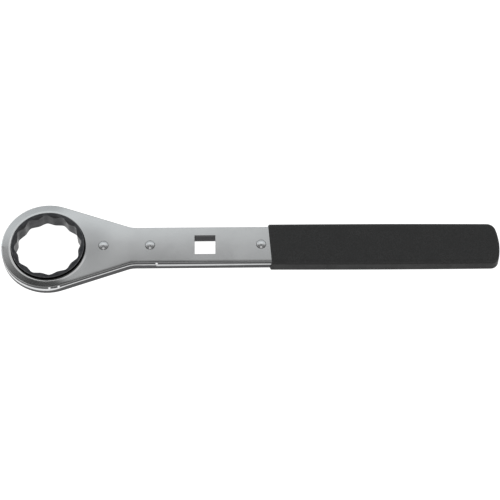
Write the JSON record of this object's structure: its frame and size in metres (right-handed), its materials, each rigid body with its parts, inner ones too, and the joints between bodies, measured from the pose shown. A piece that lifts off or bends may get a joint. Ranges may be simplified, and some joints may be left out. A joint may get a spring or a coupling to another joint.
{
  "type": "ratcheting ring wrench",
  "caption": "Flat flip-over ratcheting ring wrench: twelve-point ring in a riveted layered steel body, square drive hole in the bar and a soft black grip.",
  "frame": {"origin": "centre of the ring's opening at mid thickness", "axes": "+X along the handle towards the grip, +Z along the ring's axis out of the side plate that faces up"},
  "size_m": [0.3058, 0.0572, 0.0108],
  "materials": {
    "satin_chrome": "satin nickel-chrome plate on stamped steel",
    "rivet_steel": "plated steel, with low domed heads",
    "black_oxide": "black oxide on hardened steel",
    "hardened_steel": "plain hardened steel, lightly oiled",
    "spring_steel": "bare spring wire",
    "black_vinyl": "matte black soft vinyl with a fine pebbled texture"
  },
  "bodies": {
    "body": {"upper_side_plate": "satin_chrome", "lower_side_plate": "satin_chrome", "head_centre_plate": "satin_chrome", "handle_centre_bar": "satin_chrome", "pawl_pivot_rivet": "rivet_steel", "front_rivet": "rivet_steel", "rear_rivet": "rivet_steel", "grip_front_rivet": "rivet_steel", "grip_rear_rivet": "rivet_steel", "grip_sleeve": "black_vinyl", "pawl_spring": "spring_steel"},
    "ring": {"ratchet_ring": "black_oxide"},
    "pawl": {"pawl": "hardened_steel"}
  },
  "joints": [
    {"name": "ring_spin", "type": "hinge", "parent": "body", "child": "ring", "pos_m": [0, 0, 0], "axis": [0, 0, 1], "continuous": true},
    {"name": "pawl_pivot", "type": "hinge", "parent": "body", "child": "pawl", "pos_m": [0.0342, 0, 0], "axis": [0, 0, 1], "range_deg": [-4.8, 0], "stiffness_Nm_per_rad": 0.1, "springref_deg": 6.88, "deforming": ["pawl_spring"]}
  ]
}
